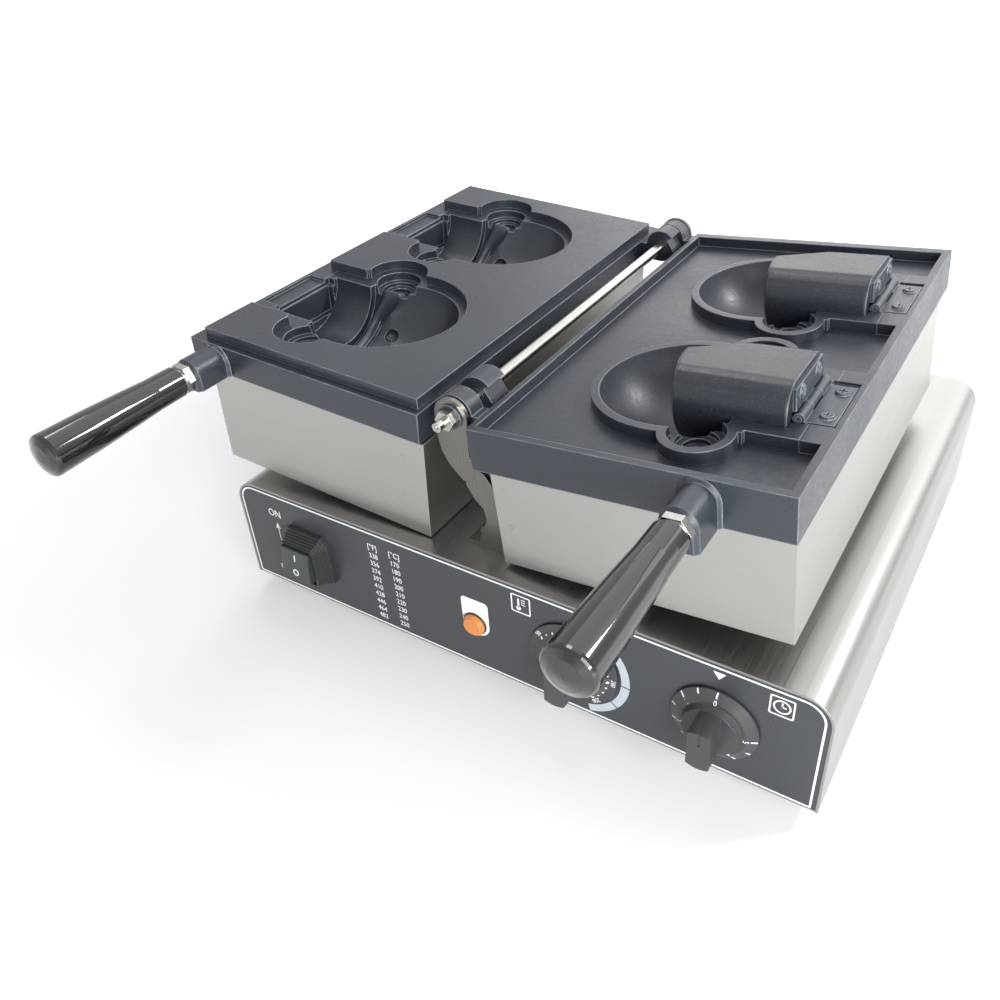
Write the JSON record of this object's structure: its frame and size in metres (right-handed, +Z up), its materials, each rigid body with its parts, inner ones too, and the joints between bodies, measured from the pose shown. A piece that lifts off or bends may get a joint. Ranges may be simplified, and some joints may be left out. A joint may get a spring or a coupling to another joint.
{
  "type": "waffle cone maker",
  "caption": "Countertop waffle maker with two hinged mould halves, fish-shaped cavities with hinged mouth cores, black grips and a dark control panel on a steel base.",
  "frame": {"origin": "middle of the outer box at the resting surface", "axes": "+Z up, +X to the right seen from the control panel, +Y from the control panel towards the back"},
  "size_m": [0.4418, 0.493, 0.2228],
  "materials": {
    "steel_sheet": "brushed",
    "steel_bright": "polished",
    "steel_zinc": "satin",
    "cast_plate": "satin dark coating",
    "core_cast": "satin dark coating",
    "leaf_dark": "satin dark coating",
    "print_sheet": "satin print",
    "bakelite": "gloss",
    "knob_black": "semi-gloss",
    "rubber_black": "matte",
    "boot": "translucent satin",
    "button": "satin",
    "lens": "gloss",
    "black_plastic": "matte",
    "ceramic": "matte",
    "heater_sheath": "dull",
    "blackened": "blackened"
  },
  "bodies": {
    "base": {"base_shell": "steel_sheet", "front_panel": "steel_sheet", "panel_overlay": "print_sheet", "rear_panel": "steel_sheet", "bottom_plate": "steel_sheet", "feet": "rubber_black", "foot_screws": "steel_zinc", "rest_pads": "rubber_black", "front_bracket": "steel_sheet", "rear_bracket": "steel_sheet", "bracket_bolts": "steel_zinc", "hinge_shaft": "steel_bright", "shaft_nuts": "steel_bright", "shaft_washers": "blackened", "switch_body": "black_plastic", "switch_boot": "boot", "lamp_body": "black_plastic", "lamp_lens": "lens", "control_bodies": "steel_zinc", "bush_nuts": "steel_zinc", "terminal_block": "ceramic", "cable_gland": "black_plastic", "gland_nut": "black_plastic"},
    "left_half": {"left_plate": "cast_plate", "left_block": "cast_plate", "left_front_mould": "cast_plate", "left_rear_mould": "cast_plate", "left_lugs": "cast_plate", "left_housing": "steel_sheet", "left_heater": "heater_sheath", "left_clamp": "steel_zinc", "left_clamp_screws": "steel_zinc", "left_screws": "steel_zinc", "left_stud": "steel_bright", "left_grip": "bakelite"},
    "right_half": {"right_plate": "cast_plate", "right_front_mould": "cast_plate", "right_rear_mould": "cast_plate", "right_lugs": "cast_plate", "right_housing": "steel_sheet", "right_heater": "heater_sheath", "right_clamp": "steel_zinc", "right_clamp_screws": "steel_zinc", "right_screws": "steel_zinc", "right_stud": "steel_bright", "right_grip": "bakelite", "land_leaves": "steel_zinc", "leaf_screws": "leaf_dark", "leaf_pins": "leaf_dark"},
    "front_core": {"front_core": "core_cast", "front_core_leaf": "leaf_dark", "front_core_screws": "leaf_dark"},
    "rear_core": {"rear_core": "core_cast", "rear_core_leaf": "leaf_dark", "rear_core_screws": "leaf_dark"},
    "rocker": {"rocker": "button"},
    "temp_knob": {"temp_knob": "knob_black", "temp_spindle": "steel_zinc"},
    "timer_knob": {"timer_knob": "knob_black", "timer_spindle": "steel_zinc"}
  },
  "joints": [
    {"name": "left_half_hinge", "type": "hinge", "parent": "base", "child": "left_half", "pos_m": [-0.01762, 0.0535, 0.1863], "axis": [0, 1, 0], "range_deg": [0, 172]},
    {"name": "right_half_hinge", "type": "hinge", "parent": "base", "child": "right_half", "pos_m": [-0.01762, 0.0535, 0.1863], "axis": [0, -1, 0], "range_deg": [0, 172]},
    {"name": "front_core_hinge", "type": "hinge", "parent": "right_half", "child": "front_core", "pos_m": [0.16213, -0.02595, 0.20386], "axis": [0, -1, 0], "range_deg": [-80, 0]},
    {"name": "rear_core_hinge", "type": "hinge", "parent": "right_half", "child": "rear_core", "pos_m": [0.16213, 0.11805, 0.20386], "axis": [0, -1, 0], "range_deg": [-80, 0]},
    {"name": "rocker_tilt", "type": "hinge", "parent": "base", "child": "rocker", "pos_m": [-0.13712, -0.1235, 0.0515], "axis": [1, 0, 0], "range_deg": [0, 14]},
    {"name": "temp_knob_turn", "type": "hinge", "parent": "base", "child": "temp_knob", "pos_m": [0.07088, -0.1355, 0.0515], "axis": [0, 1, 0], "range_deg": [0, 270]},
    {"name": "timer_knob_turn", "type": "hinge", "parent": "base", "child": "timer_knob", "pos_m": [0.15938, -0.1355, 0.0515], "axis": [0, 1, 0], "range_deg": [0, 270]}
  ]
}
